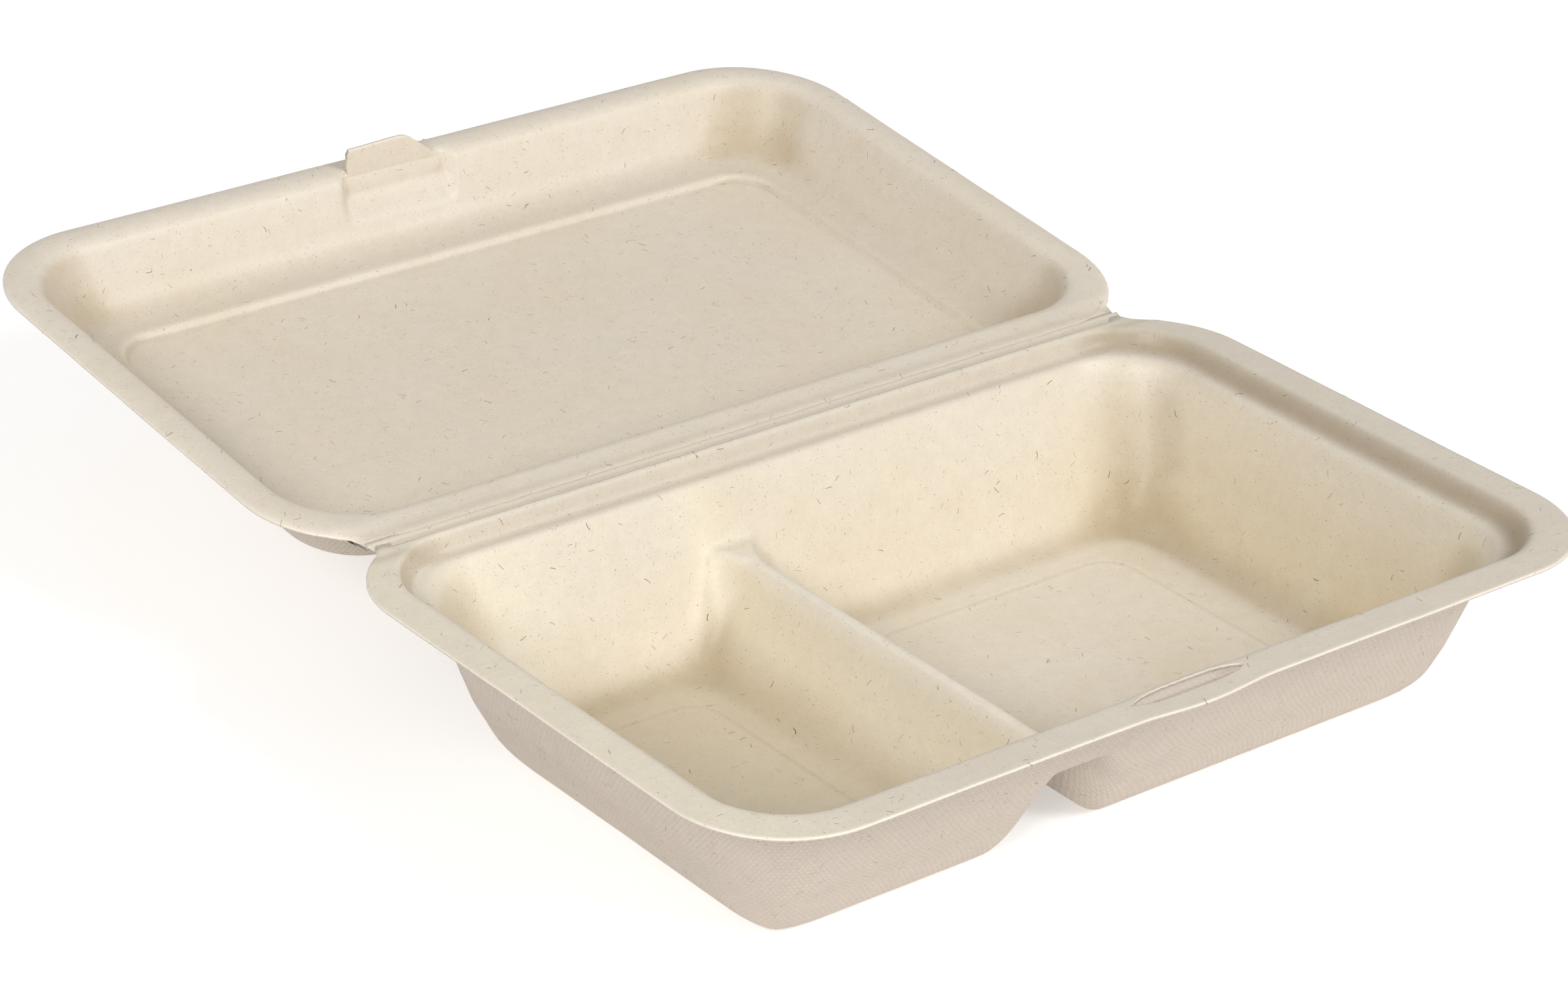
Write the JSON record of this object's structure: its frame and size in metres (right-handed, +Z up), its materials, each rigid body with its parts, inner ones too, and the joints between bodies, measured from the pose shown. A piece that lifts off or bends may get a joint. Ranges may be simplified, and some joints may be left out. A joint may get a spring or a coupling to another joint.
{
  "type": "two compartment bagasse clamshell container",
  "caption": "Hinged food container of moulded bagasse pulp: a tray with two compartments, a shallow lid and a tongue-and-slit lock.",
  "frame": {"origin": "on the table under the middle of the tray's outline, on the underside of the large compartment", "axes": "+X along the fold, towards the large compartment; +Y from the tray across the fold to the open lid; +Z up, out of the open tray"},
  "size_m": [0.232, 0.2926, 0.0611],
  "materials": {
    "tray_pulp": "unbleached moulded bagasse pulp, smooth inside, screen texture outside",
    "lid_pulp": "unbleached moulded bagasse pulp, smooth inside, screen texture outside"
  },
  "bodies": {
    "tray": {"tray": "tray_pulp"},
    "lid": {"lid": "lid_pulp"}
  },
  "joints": [
    {"name": "lid_fold", "type": "hinge", "parent": "tray", "child": "lid", "pos_m": [0, 0.073, 0.04065], "axis": [1, 0, 0], "range_deg": [-16, 174]}
  ]
}
